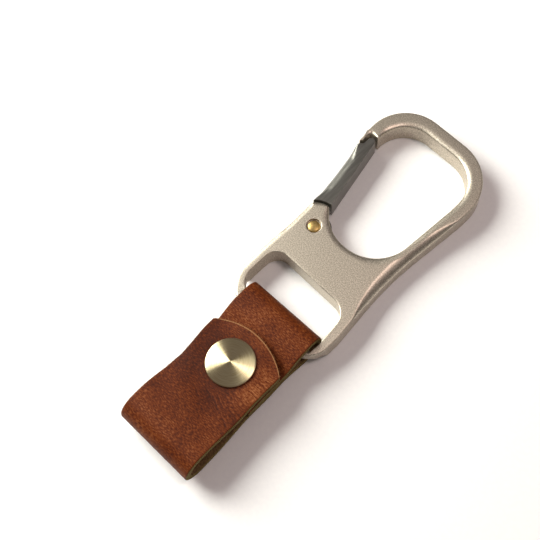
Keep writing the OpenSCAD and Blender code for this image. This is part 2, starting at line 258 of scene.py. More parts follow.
def inward(loop):
    """Unit vectors into the material, at each point of a loop that has it on its left."""
    t = np.roll(loop, -1, 0) - np.roll(loop, 1, 0)
    t /= np.linalg.norm(t, axis=1)[:, None]
    return np.stack([-t[:, 1], t[:, 0]], 1)


def room(loop, wanted, slope=0.45):
    """Edge widths that tight outside corners allow, changing gently along the loop."""
    before, after = loop - np.roll(loop, 1, 0), np.roll(loop, -1, 0) - loop
    lb, la = np.linalg.norm(before, axis=1), np.linalg.norm(after, axis=1)
    cross = before[:, 0] * after[:, 1] - before[:, 1] * after[:, 0]
    bend = np.arcsin(np.clip(cross / (lb * la), -1, 1)) / ((lb + la) / 2)
    limit = np.where(bend > 1e-3, np.minimum(wanted, 0.8 / np.maximum(bend, 1e-3)), wanted)
    along = np.concatenate([[0], np.cumsum(la)])
    total, along = along[-1], along[:-1]
    apart = np.abs(along[:, None] - along[None, :])
    apart = np.minimum(apart, total - apart)
    return (limit[None, :] + slope * apart).min(1)


def plate(name, loops, low, high, top_edge, bottom_edge, material, steps=7, grid=1.6):
    """A plate between the heights low(xy) and high, with rolled edges.
    loops are the outline, then any holes the other way round. An edge function takes points and
    inward directions, and gives the roll's width, depth and squareness: 1 is a flat chamfer, 2 is round."""
    points, faces, caps = [], [], {"top": [], "bottom": []}
    theta = np.linspace(0, math.pi / 2, steps + 1)
    for loop in loops:
        n, into = len(loop), inward(loop)
        rings = []
        for side, edge in (("bottom", bottom_edge), ("top", top_edge)):
            width, depth, power = edge(loop, into)
            width = room(loop, width)
            depth = room(loop, depth)
            order = theta[::-1] if side == "bottom" else theta
            for a in order:
                c, s = max(math.cos(a), 0.0), math.sin(a)
                inset = width * (1 - c ** (2 / power))
                drop = depth * (1 - s ** (2 / power))
                xy = loop + into * inset[:, None]
                z = low(xy) + drop if side == "bottom" else high - drop
                rings.append(np.column_stack([xy, np.broadcast_to(z, n)]))
        start = len(points)
        for ring in rings:
            points += ring.tolist()
        for k in range(len(rings) - 1):
            for i in range(n):
                j = (i + 1) % n
                a, b = start + k * n, start + (k + 1) * n
                faces.append((a + i, a + j, b + j, b + i))
        caps["bottom"].append(range(start, start + n))
        last = start + (len(rings) - 1) * n
        caps["top"].append(range(last, last + n))
    for side, rims in caps.items():
        used = [i for rim in rims for i in rim]
        flat = [Vector(points[i][:2]) for i in used]
        edges, at = [], 0
        for rim in rims:
            n = len(rim)
            edges += [(at + i, at + (i + 1) % n) for i in range(n)]
            at += n
        rim_now = [np.array([points[i][:2] for i in rim]) for rim in rims]
        inner = inner_points(np.concatenate(rim_now), rim_now, grid)
        found = delaunay_2d_cdt(flat + [Vector(p) for p in inner], edges, [], 2, 1e-7)
        names = []
        for k, origin in enumerate(found[3]):
            if origin and origin[0] < len(used):
                names.append(used[origin[0]])
            else:
                xy = np.array([found[0][k][:]])
                z = high if side == "top" else float(np.broadcast_to(low(xy), 1)[0])
                names.append(len(points))
                points.append([*found[0][k][:], z])
        middles = np.array([np.mean([found[0][i][:] for i in f], 0) for f in found[2]])
        for f, keep in zip(found[2], inside(middles, rim_now)):
            if keep:
                tri = [names[i] for i in f]
                faces.append(tri if side == "top" else tri[::-1])
    return make_mesh(name, points, faces, [material])


def inside(p, loops):
    """Which points are inside the outline and outside its holes."""
    found = np.zeros(len(p), bool)
    for loop in loops:
        a, b = loop, np.roll(loop, -1, 0)
        cross = (a[None, :, 1] > p[:, None, 1]) != (b[None, :, 1] > p[:, None, 1])
        run = b[:, 1] - a[:, 1]
        run = np.where(np.abs(run) < 1e-9, 1e-9, run)
        at = a[:, 0] + (p[:, None, 1] - a[:, 1]) / run * (b[:, 0] - a[:, 0])
        found ^= ((at > p[:, None, 0]) & cross).sum(1) % 2 == 1
    return found


def inner_points(rim, loops, grid):
    """Grid points well inside the rims."""
    (x0, y0), (x1, y1) = rim.min(0), rim.max(0)
    gx, gy = np.meshgrid(np.arange(x0 + grid / 2, x1, grid), np.arange(y0 + grid / 2, y1, grid))
    p = np.column_stack([gx.ravel(), gy.ravel()])
    p = p[inside(p, loops)]
    near = np.sqrt(((p[:, None] - rim[None]) ** 2).sum(2)).min(1)
    return p[near > grid * 0.55]


def lathe(name, centre, profile, material, n=96, uv=False):
    """A turned solid about a vertical axis. profile is (radius, height) pairs from the axis, round
    the outside and back to the axis; it runs so that the solid is on its left."""
    points, rings = [], []
    for r, z in profile:
        if r < 1e-6:
            rings.append([len(points)])
            points.append([centre[0], centre[1], z])
        else:
            rings.append(list(range(len(points), len(points) + n)))
            points += [[*polar(centre, r, 360 * i / n), z] for i in range(n)]
    faces = []
    for a, b in zip(rings, rings[1:]):
        for i in range(n):
            j = (i + 1) % n
            if len(a) == 1 and len(b) == 1:
                continue
            if len(a) == 1:
                faces.append((a[0], b[j], b[i]))
            elif len(b) == 1:
                faces.append((a[i], a[j], b[0]))
            else:
                faces.append((a[i], a[j], b[j], b[i]))
    obj = make_mesh(name, points, faces, [material])
    if uv:
        layer = obj.data.uv_layers.new(name="turned")
        for poly in obj.data.polygons:
            mid = math.atan2(poly.center.y / MM - centre[1], poly.center.x / MM - centre[0])
            for k in poly.loop_indices:
                v = obj.data.vertices[obj.data.loops[k].vertex_index].co / MM
                d = np.array([v[0] - centre[0], v[1] - centre[1]])
                r = float(np.linalg.norm(d))
                a = math.atan2(d[1], d[0]) if r > 1e-4 else mid
                a += round((mid - a) / math.tau) * math.tau
                layer.data[k].uv = (a * 3, r)
    return obj


# ---- Materials ----
def linear(hex_colour):
    """An sRGB hex colour as linear red, green, blue and alpha."""
    parts = [int(hex_colour[i : i + 2], 16) / 255 for i in (1, 3, 5)]
    return (*[c / 12.92 if c <= 0.04045 else ((c + 0.055) / 1.055) ** 2.4 for c in parts], 1.0)


def add(tree, kind, settings=None, values=None, links=None):
    """Adds a node, with its settings, its input values, and its inputs linked from other sockets."""
    made = tree.nodes.new(kind)
    for key, value in (settings or {}).items():
        setattr(made, key, value)
    for key, value in (values or {}).items():
        made.inputs[key].default_value = value
    for key, source in (links or {}).items():
        tree.links.new(source, made.inputs[key])
    return made


def per_mm(size):
    """Texture scale, per metre, for a pattern whose features are size millimetres across."""
    return 1 / (size * MM)


def new_material(name):
    made = bpy.data.materials.new(name)
    made.use_nodes = True
    made.node_tree.nodes.clear()
    return made, made.node_tree


def ramp(tree, factor, stops):
    """A colour ramp: stops are (position, hex colour)."""
    made = add(tree, "ShaderNodeValToRGB", links={"Fac": factor})
    for k, (at, colour) in enumerate(stops):
        if k < 2:
            stop = made.color_ramp.elements[k]
            stop.position = at
        else:
            stop = made.color_ramp.elements.new(at)
        stop.color = linear(colour)
    return made.outputs["Color"]


def spread(tree, value, low, high, out_low, out_high):
    """Maps low..high of a value to out_low..out_high."""
    made = add(tree, "ShaderNodeMapRange", values={1: low, 2: high, 3: out_low, 4: out_high},
               links={0: value})
    return made.outputs["Result"]


def calc(tree, operation, *terms):
    """A math node on sockets and plain numbers."""
    values = {i: t for i, t in enumerate(terms) if isinstance(t, (int, float))}
    links = {i: t for i, t in enumerate(terms) if i not in values}
    return add(tree, "ShaderNodeMath", {"operation": operation}, values, links).outputs[0]


def finish_material(tree, values, links):
    shader = add(tree, "ShaderNodeBsdfPrincipled", values=values, links=links)
    add(tree, "ShaderNodeOutputMaterial", links={"Surface": shader.outputs["BSDF"]})


def noise(tree, where, size, detail=2.0, roughness=0.5):
    """A noise pattern with features of this size in millimetres, on metre coordinates."""
    made = add(tree, "ShaderNodeTexNoise", links={"Vector": where},
               values={"Scale": per_mm(size), "Detail": detail, "Roughness": roughness})
    return made.outputs["Fac"]


def bead_blasted_satin_nickel():
    """Zinc casting, bead blasted, then satin nickel plated: a warm grey metal with a fine sparkling
    grain. The beads are about 0.1 mm; the grain is drawn at 0.3 mm so that it shows."""
    made, tree = new_material("bead_blasted_satin_nickel")
    where = add(tree, "ShaderNodeTexCoord").outputs["Object"]
    grain = noise(tree, where, 0.3, 0.0)
    colour = ramp(tree, grain, [(0.3, "#ACA393"), (0.5, "#C1B8A8"), (0.7, "#D7CEBF")])
    rough = spread(tree, grain, 0.3, 0.7, 0.4, 0.46)
    bump = add(tree, "ShaderNodeBump", values={"Strength": 0.3, "Distance": 0.015 * MM},
               links={"Height": grain})
    finish_material(tree, {"Metallic": 1.0},
                    {"Base Color": colour, "Roughness": rough, "Normal": bump.outputs[0]})
    return made


def gunmetal_plate():
    """Steel, polished smooth and plated dark gunmetal, with a very faint lengthwise grain."""
    made, tree = new_material("gunmetal_plated_steel")
    where = add(tree, "ShaderNodeTexCoord").outputs["Object"]
    drawn = add(tree, "ShaderNodeMapping", values={"Scale": (1.0, 0.06, 1.0)}, links={"Vector": where})
    lines = noise(tree, drawn.outputs[0], 0.4, 1.0)
    colour = ramp(tree, lines, [(0.3, "#7F7E78"), (0.7, "#898882")])
    rough = spread(tree, lines, 0.3, 0.7, 0.32, 0.36)
    finish_material(tree, {"Metallic": 1.0}, {"Base Color": colour, "Roughness": rough})
    return made


def turned_brass(name, light, dark, roughness, anisotropy):
    """Brass turned on a lathe: its fine rings spread each highlight outwards, along the radius."""
    made, tree = new_material(name)
    uv = add(tree, "ShaderNodeUVMap", {"uv_map": "turned"}).outputs["UV"]
    rings = add(tree, "ShaderNodeMapping", values={"Scale": (0.4, 5.0, 1.0)}, links={"Vector": uv})
    groove = add(tree, "ShaderNodeTexNoise", values={"Scale": 1.0, "Detail": 2.0},
                 links={"Vector": rings.outputs[0]})
    colour = ramp(tree, groove.outputs["Fac"], [(0.3, dark), (0.6, light)])
    rough = spread(tree, groove.outputs["Fac"], 0.3, 0.7, roughness - 0.02, roughness + 0.03)
    tangent = add(tree, "ShaderNodeTangent", {"direction_type": "UV_MAP", "uv_map": "turned"})
    finish_material(tree, {"Metallic": 1.0, "Anisotropic": anisotropy, "Anisotropic Rotation": 0.25},
                    {"Base Color": colour, "Roughness": rough, "Tangent": tangent.outputs[0]})
    return made


def clouded_metal(name, size, detail, stops, rough):
    """Plain metal whose colour and gloss vary a little, in clouds of this size in millimetres."""
    made, tree = new_material(name)
    cloud = noise(tree, add(tree, "ShaderNodeTexCoord").outputs["Object"], size, detail)
    finish_material(tree, {"Metallic": 1.0}, {"Base Color": ramp(tree, cloud, stops),
                                              "Roughness": spread(tree, cloud, 0.3, 0.7, *rough)})
    return made


def uv_noise(tree, uv, along, across, detail, roughness=0.5):
    """Noise on the strap's own coordinates, in millimetres: streaks this long along and across it."""
    placed = add(tree, "ShaderNodeMapping", values={"Scale": (1 / along, 1 / across, 1.0)},
                 links={"Vector": uv})
    made = add(tree, "ShaderNodeTexNoise", links={"Vector": placed.outputs[0]},
               values={"Scale": 1.0, "Detail": detail, "Roughness": roughness})
    return made.outputs["Fac"]


def leather_grain():
    """Tan pull-up leather, waxed: fine wrinkles across the strap, lighter and darker in patches, with painted
    shade in the creases' grooves and a painted highlight on their raised lips.
    """
    made, tree = new_material("tan_pull_up_leather")
    uv = add(tree, "ShaderNodeUVMap", {"uv_map": "strap"}).outputs["UV"]
    wrinkle = uv_noise(tree, uv, 0.26, 0.95, 1.5, 0.6)
    patch = uv_noise(tree, uv, 7.0, 9.0, 2.0)
    crease = add(tree, "ShaderNodeAttribute", {"attribute_name": "crease"}).outputs["Fac"]
    about_cap = add(tree, "ShaderNodeAttribute", {"attribute_name": "cap_tone"}).outputs["Fac"]
    tone = calc(tree, "ADD", spread(tree, wrinkle, 0.3, 0.7, 0.2, 0.68),
                spread(tree, patch, 0.3, 0.7, -0.08, 0.12))
    # Darker about the cap and more on its left, lighter just right of it.
    tone_by_cap = calc(tree, "SUBTRACT", tone, spread(tree, about_cap, -1.0, 1.0, -0.25, 0.25))
    # Painted shade darkens the creases' grooves, and a painted highlight lightens their raised lips.
    shade = calc(tree, "SUBTRACT", tone_by_cap, spread(tree, crease, -1.0, 1.0, -0.2, 0.2))
    colour = ramp(tree, shade,
                  [(0.0, "#260C02"), (0.3, "#461A05"), (0.55, "#652E0D"), (0.95, "#9D643C")])
    rough = spread(tree, wrinkle, 0.3, 0.7, 0.62, 0.5)
    bump = add(tree, "ShaderNodeBump", values={"Strength": 0.6, "Distance": 0.05 * MM},
               links={"Height": wrinkle})
    finish_material(tree, {"Specular IOR Level": 0.13},
                    {"Base Color": colour, "Roughness": rough, "Normal": bump.outputs[0]})
    return made


def leather_raw(name, stops, size):
    """Cut or split leather, unfinished: matt and fibrous."""
    made, tree = new_material(name)
    where = add(tree, "ShaderNodeTexCoord").outputs["Object"]
    fibre = noise(tree, where, size, 4.0, 0.65)
    colour = ramp(tree, fibre, stops)
    bump = add(tree, "ShaderNodeBump", values={"Strength": 0.7, "Distance": 0.12 * MM},
               links={"Height": fibre})
    finish_material(tree, {"Roughness": 0.9, "Specular IOR Level": 0.2},
                    {"Base Color": colour, "Normal": bump.outputs[0]})
    return made


NICKEL = bead_blasted_satin_nickel()
GUNMETAL = gunmetal_plate()
CAP_BRASS = turned_brass("spun_brass", "#D6C8A2", "#C4B386", 0.31, 0.95)
PIN_BRASS = turned_brass("turned_brass_pin", "#BFA268", "#9C8450", 0.42, 0.2)
# Pressed and barrel-polished brass, for what is seen only when the strap is open
BRASS = clouded_metal("pressed_brass", 1.5, 3.0, [(0.3, "#A98B4C"), (0.65, "#CDB273")], (0.25, 0.4))
# Drawn spring wire: bright, with fine marks
WIRE = clouded_metal("drawn_spring_wire", 0.3, 2.0, [(0.3, "#8C8C8A"), (0.7, "#B5B4B0")], (0.22, 0.38))
GRAIN = leather_grain()
EDGE = leather_raw("raw_cut_leather_edge", [(0.3, "#3C3016"), (0.5, "#6A5A2E"), (0.72, "#978350")], 0.25)
LIP = leather_raw("frayed_leather_lip", [(0.3, "#5E3A20"), (0.5, "#8A5E3A"), (0.72, "#B0865E")], 0.2)
FLESH = leather_raw("split_leather_flesh_side", [(0.3, "#4C3820"), (0.55, "#71583A"), (0.75, "#8E7350")], 0.5)


# ---- Camera: at the working distance of a phone held over the table ----
def make_camera(target, azimuth, elevation, roll, distance, lens):
    a, e = math.radians(azimuth), math.radians(elevation)
    back = Vector((math.sin(a) * math.cos(e), -math.cos(a) * math.cos(e), math.sin(e)))
    data = bpy.data.cameras.new("camera")
    data.lens = lens
    data.clip_start, data.clip_end = 0.01, 10.0
    cam = bpy.data.objects.new("camera", data)
    bpy.context.scene.collection.objects.link(cam)
    cam.location = (Vector(target) + back * distance) * MM
    cam.rotation_mode = "QUATERNION"
    cam.rotation_quaternion = back.to_track_quat("Z", "Y") @ Quaternion((0, 0, 1), math.radians(-roll))
    bpy.context.scene.camera = cam


make_camera((-11.3, -12.6, 3.6), 54.6, 66.85, 9.15, 261.5, 60.0)


# ---- Frame casting ----
def frame_outline():
    ear_mid, ear_half = (EAR_TOP_A + EAR_LEFT_A) / 2, (EAR_LEFT_A - EAR_TOP_A) / 2
    tip = polar(PIN, EAR_R / math.cos(math.radians(ear_half)), ear_mid)
    top, left = polar(PIN, EAR_R, EAR_TOP_A), polar(PIN, EAR_R, EAR_LEFT_A)
    out_x = LOOP_RIGHT + ROD_W
    return outline([
        (RING_LEFT + 0.2, RING_END_Y, 8.5),
        (RING_RIGHT, RING_END_Y, 7.6),
        (RING_RIGHT + 0.1, SLOT_Y - 7.6, 12),
        (WALL_X - 0.25, LOOP_Y + 2.1, 110),
        (out_x, FAR_IN_Y - 14, 40),
        (out_x, FAR_OUT_Y, 15.5),
        (LIP_X, FAR_OUT_Y, 13.3),
        (LIP_X, NOSE_Y + 1, 20),
        (LIP_X + 0.75, SHOULDER_Y, 0.2),
        (LIP_X + LIP_W, SHOULDER_Y + 1.1, 0.2),
        (LIP_X + LIP_W, NOSE_Y, 0.3),
        (LOOP_LEFT + 0.2, NOSE_Y + 0.2, 0.4),
        (LOOP_LEFT + 0.3, NOSE_Y + 1.1, 0.4),
        (LOOP_LEFT, FAR_IN_Y, 10),
        (LOOP_RIGHT, FAR_IN_Y, 11.5),
        (LOOP_RIGHT, FAR_IN_Y - 14.5, 30),
        (BOTTOM_RIGHT, LOOP_Y, LOOP_BOTTOM_R),
        (top[0] + top[1] - LOOP_Y, LOOP_Y, LOOP_BOTTOM_R),
        (top[0], top[1], 1),
        (tip[0], tip[1], EAR_R - 1.7),
        (left[0], left[1], 1.2),
        (WAIST_LEFT, 0, 60),
        (RING_LEFT, SLOT_Y - 4, 30),
    ])


def slot_outline():
    return outline([
        (SLOT_LEFT, SLOT_Y, 4.5),
        (SLOT_RIGHT - 1.6, SLOT_Y, 5.8),
        (SLOT_RIGHT, SLOT_END_Y, 3),
        (SLOT_LEFT, SLOT_END_Y, 6),
    ])[::-1]


def frame_bottom(xy):
    """The frame's back is flat, and rises to a thinner bar at the ring."""
    ramp_up = smoothstep((SLOT_END_Y + 4.8 - xy[:, 1]) / 2.4)
    return (FRAME_T - BAR_T) * ramp_up


def frame_top_edge(loop, into):
    """Rolled edges: wide on the ear and the hook's inside, thin round the slot, and the long bevel."""
    n = len(loop)
    x, y = loop.T
    in_slot = np.full(n, y.max() < LOOP_Y - 5)
    facing = (-into * (LOOP_CENTRE - loop)).sum(1) / np.linalg.norm(LOOP_CENTRE - loop, axis=1)
    inner = smoothstep((facing + 0.2) / 0.6) * smoothstep((y - LOOP_Y + 3) / 3)
    left = smoothstep((into[:, 0] - 0.3) / 0.5) * smoothstep((LOOP_Y + 8 - y) / 6)
    near_ear = smoothstep((10 - np.linalg.norm(loop - PIN, axis=1)) / 2)
    width = 0.55 + 1.3 * inner + 1.1 * left
    width = np.maximum(width, 1.5 * near_ear)
    depth = 0.5 + 0.35 * np.maximum(inner, near_ear) + 0.1 * left
    power = np.full(n, 1.9)
    r = np.where(y > BEVEL_Y, BEVEL_UP_R, BEVEL_DOWN_R)
    reach = np.sqrt(np.maximum(r * r - (y - BEVEL_Y) ** 2, 0))
    crease = WALL_X - BEVEL_W + r - reach
    long_w = np.where((into[:, 0] < -0.8) & (x > BOTTOM_RIGHT), x - crease, 0)
    share = np.clip(long_w / BEVEL_W, 0, 1)
    width = np.maximum(width, long_w)
    depth = np.maximum(depth, BEVEL_D * share ** 0.8)
    power = power - 0.35 * smoothstep(share * 1.5)
    on_bar = smoothstep((SLOT_END_Y + 0.8 - y) / 1.2)
    on_bar = on_bar * smoothstep((STRAP_W / 2 + 0.5 - np.abs(x - STRAP_X)) / 1.5)
    width = np.where(in_slot, 0.35 + on_bar, width + 0.4 * on_bar)
    depth = np.where(in_slot, 0.35 + 1.2 * on_bar, depth + 0.8 * on_bar)
    return width, depth, power


def frame_bottom_edge(loop, into):
    n = len(loop)
    x, y = loop.T
    on_bar = smoothstep((SLOT_END_Y + 0.8 - y) / 1.2)
    width = 0.7 + 0.5 * on_bar
    return width, width * (1 + 0.2 * on_bar), np.full(n, 1.9)


def pin_cutter():
    """Bore for the pin's shank, with a sink at each face whose rim is rolled."""
    sink, rim = PIN_HEAD_D / 2 + 0.36, 0.2
    arc = [math.radians(a) for a in range(0, 91, 15)]
    low = [(sink + rim - rim * math.sin(a), rim - rim * math.cos(a)) for a in arc]
    high = [(sink + rim - rim * math.cos(a), FRAME_T - rim + rim * math.sin(a)) for a in arc]
    profile = [(0, -1), (sink + rim, -1)] + low + [
        (sink, HEAD_SINK), (PIN_D / 2, HEAD_SINK), (PIN_D / 2, FRAME_T - HEAD_SINK),
        (sink, FRAME_T - HEAD_SINK)] + high + [(sink + rim, FRAME_T + 1), (0, FRAME_T + 1)]
    return lathe("cutter", PIN, profile, NICKEL, n=64)


def block(points, z0, z1):
    """A plain prism, for cutting."""
    loop = np.array(points, float)
    n = len(loop)
    verts = [[*p, z] for z in (z0, z1) for p in loop]
    faces = [tuple(range(n))[::-1], tuple(range(n, 2 * n))]
    faces += [(i, (i + 1) % n, n + (i + 1) % n, n + i) for i in range(n)]
    return make_mesh("cutter", verts, faces, [NICKEL])


def fan(radius, angles):
    return [PIN, *[polar(PIN, r, a) for r, a in zip(radius, angles)]]


def bar_relief():
    """All round the bar, but not the bar itself, whose edges are rounded about its own axis."""
    x0, x1 = STRAP_X - STRAP_W / 2 - SIDE_LEFT, STRAP_X + STRAP_W / 2 + SIDE_RIGHT
    y0, y1 = RING_END_Y - 1, RING_END_Y + BAR_W + WRAP_CLEAR
    around = block([(x0, y0), (x1, y0), (x1, y1), (x0, y1)], -1, FRAME_T + 1)
    bar = block(circle((BAR_Y, BAR_Z), BAR_T / 2 + 0.2), x0 - 1, x1 + 1)
    bar.data.transform(Matrix(((0, 0, 1, 0), (1, 0, 0, 0), (0, 1, 0, 0), (0, 0, 0, 1))))
    return combine(around, bar, "DIFFERENCE")


def frame_casting():
    made = plate("frame_casting", [frame_outline(), slot_outline()], frame_bottom, FRAME_T,
                 frame_top_edge, frame_bottom_edge, NICKEL)
    z0, z1 = MID_Z - TANG_T / 2 - CHEEK_FIT, MID_Z + TANG_T / 2 + CHEEK_FIT
    combine(made, block(circle(PIN, TANG_R + 0.5), z0, z1), "DIFFERENCE")
    combine(made, block(fan((20, 24, 20), (62, 110, 178)), z0, z1), "DIFFERENCE")
    combine(made, pin_cutter(), "DIFFERENCE")
    combine(made, bar_relief(), "DIFFERENCE")
    flat_faces(smooth(made))
    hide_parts("body")
    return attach(made, "frame")


# ---- Gate ----
def gate_outline():
    inner = [(*polar(PIN, GATE_IN_R, 136 - 39 * i / 8), 0) for i in range(9)]
    return outline(inner + [
        (GATE_TIP_X + GATE_TIP_W, GATE_TIP_Y - 0.5, 0.3),
        (GATE_TIP_X + GATE_TIP_W - 0.7, GATE_TIP_Y, 0.2),
        (GATE_TIP_X + 0.7, GATE_TIP_Y, 0.3),
        (GATE_TIP_X, GATE_TIP_Y - 0.8, 0.3),
        (GATE_TIP_X - 0.05, SHOULDER_Y + 0.7, 0.3),
        (GATE_TIP_X - 1.3, SHOULDER_Y - 0.7, 0.3),
        (GATE_TIP_X + 1.15, PIN[1] + 16.5, 40),
    ])


def gate_edge(loop, into):
    """A round shoulder on the outside, and a crisp edge towards the loop."""
    outside = smoothstep((into[:, 0] - 0.5) / 0.3) * smoothstep((SHOULDER_Y - 0.2 - loop[:, 1]) / 0.8)
    width = 0.25 + 2.5 * outside
    return width, 0.25 + 1.9 * outside, np.full(len(loop), 2.0)


def gate_arm():
    low, high = GATE_LOW[2], GATE_HIGH[2]
    made = plate("gate_arm", [gate_outline()], lambda xy: np.full(len(xy), low), high,
                 gate_edge, gate_edge, GUNMETAL)
    z0, z1 = MID_Z - TANG_T / 2, MID_Z + TANG_T / 2
    combine(made, block(circle(PIN, TANG_R, 72), z0, z1), "UNION")
    web = [polar(PIN, TANG_R - 0.2, 90), polar(PIN, GATE_IN_R + 1, 100), polar(PIN, GATE_IN_R + 1, 134),
           polar(PIN, TANG_R - 0.2, 150), PIN]
    combine(made, block(web, z0, z1), "UNION")
    combine(made, block(circle(PIN, PIN_D / 2 + 0.05, 48), -1, FRAME_T + 1), "DIFFERENCE")
    combine(made, block(circle(PIN, POCKET_R, 48), z0 - 1, z0 + POCKET_H), "DIFFERENCE")
    along, aside = polar((0, 0), 1, LEG_ANGLE), polar((0, 0), 1, LEG_ANGLE + 90)
    near, far = -COIL_R - WIRE_D, -COIL_R + WIRE_D
    corners = ((0, near), (LEG_GROOVE, near), (LEG_GROOVE, far), (0, far))
    groove = [PIN + along * a + aside * b for a, b in corners]
    combine(made, block(groove[::-1], z0 - 1, z0 + POCKET_H), "DIFFERENCE")
    flat_faces(smooth(made))
    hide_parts("gate")
    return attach(made, "gate")


def hinge_pin():
    """Brass pin with a head at each end: a low dome on top, and a flat one with a chamfered rim below."""
    head = PIN_HEAD_D / 2
    low, high = PIN_LOW[2], PIN_HIGH[2]
    rise = 0.5
    arc = [math.radians(a) for a in range(0, 86, 8)]
    dome = [(head * math.cos(a), high - rise + rise * math.sin(a)) for a in arc]
    profile = [(0, low), (head - 0.3, low), (head, low + 0.25), (head, HEAD_SINK), (PIN_D / 2, HEAD_SINK),
               (PIN_D / 2, FRAME_T - HEAD_SINK), (head, FRAME_T - HEAD_SINK)] + dome + [(0, high)]
    made = smooth(lathe("hinge_pin", PIN, profile, PIN_BRASS, n=64, uv=True), 40)
    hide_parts("gate_pin")
    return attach(made, "frame")


# ---- Leather ----
def strap_path():
    """Side view of the leather, y and z, from its hidden end, round the bar, round the fold, to the
    end of the tongue, in steps of 0.25 mm. The grain side is on the left."""
    def bend(c, r, a, b):
        n = math.ceil(abs(b - a) / 6)
        return [polar(c, r, a + (b - a) * i / n) for i in range(n + 1)]

    points = [
        (SNAP_Y - JOIN, INNER_Z), (SNAP_Y + JOIN + 1.2, INNER_Z), (BAR_Y - 2.2, WRAP_Z + WRAP_R - 0.1),
        *bend((WRAP_Y, WRAP_Z), WRAP_R, 90, -90),
        (BAR_Y - 1.5, WRAP_Z - WRAP_R + 0.2), (SNAP_Y + JOIN + 1, BACK_Z - 0.15),
        (SNAP_Y + JOIN - 1, BACK_Z), (SNAP_Y - JOIN, BACK_Z), (SNAP_Y - JOIN - 2, BACK_Z - 0.25),
        *bend((FOLD_Y, FOLD_Z), FOLD_R, 272, 84),
        (SNAP_Y - JOIN - 5, TONGUE_Z - 0.4), (SNAP_Y - JOIN - 1, TONGUE_Z - 0.5),
        (SNAP_Y - 4.6, TONGUE_Z), (SNAP_Y + 7.3, TONGUE_Z), (SNAP_Y + TONGUE_REACH, TONGUE_Z + 0.35),
    ]
    p = np.array(points, float)
    d = np.concatenate([[0], np.cumsum(np.linalg.norm(np.diff(p, axis=0), axis=1))])
    s = np.arange(0, d[-1], 0.25)
    fine = np.column_stack([np.interp(s, d, p[:, 0]), np.interp(s, d, p[:, 1])])
    kernel = np.exp(-0.5 * (np.arange(-12, 13) * 0.25 / 0.9) ** 2)
    kernel /= kernel.sum()
    ends = np.concatenate([2 * fine[0] - fine[12:0:-1], fine, 2 * fine[-1] - fine[-2:-14:-1]])
    return np.column_stack([np.convolve(ends[:, k], kernel, "valid") for k in (0, 1)])


PATH = strap_path()
PATH_STEP = 0.25
SPLIT_Y = FOLD_Y + 5.6


def at_path(s):
    """Point and grain-side normal of the path at distance s."""
    i = np.clip(s / PATH_STEP, 0, len(PATH) - 1.001)
    k = i.astype(int)
    f = (i - k)[..., None]
    p = PATH[k] * (1 - f) + PATH[k + 1] * f
    t = PATH[np.minimum(k + 2, len(PATH) - 1)] - PATH[np.maximum(k - 1, 0)]
    t = t / np.linalg.norm(t, axis=-1)[..., None]
    return p, np.stack([-t[..., 1], t[..., 0]], -1)


def split_at():
    """Distance along the path where the strap's piece ends, on its back layer near the fold."""
    on_back = [i for i, p in enumerate(PATH) if p[1] < FOLD_Z and p[0] < SPLIT_Y]
    return on_back[0] * PATH_STEP


def strap_point(x, y, z):
    """From the strap's own square frame to the model's, which it is turned in."""
    dy = y - BAR_Y
    c, s = math.cos(STRAP_TURN), math.sin(STRAP_TURN)
    return np.stack([STRAP_X + x * c - dy * s, BAR_Y + x * s + dy * c, z], -1)


def creases(s, v, snap_s):
    """How deep the leather is creased: wrinkles beside and below the snap, each with a raised lip below 0."""
    rng = random.Random(11)
    deep = np.zeros_like(s)
    for _ in range(90):
        s0, v0 = rng.uniform(-14, 3), rng.uniform(-1, 12)
        tilt = float(np.clip(0.3 * (s0 + 3) / max(v0, 3), -0.5, 0.3)) + rng.uniform(-0.1, 0.1)
        length, width, weight = rng.uniform(1.0, 3.0), rng.uniform(0.12, 0.2), rng.uniform(0.4, 1)
        if math.hypot(s0, v0) < 8.2:
            continue
        across = s - snap_s - s0 - tilt * (v - v0) - 0.1 * np.sin((v - v0) * 1.9 + s0)
        fade = np.exp(-((v - v0) / length) ** 4) * weight
        groove, raised = np.exp(-((across / width) ** 2)), np.exp(-(((across - 0.36) / width) ** 2))
        deep = deep + fade * (groove - 0.6 * raised)
    return np.clip(deep, -1, 1)


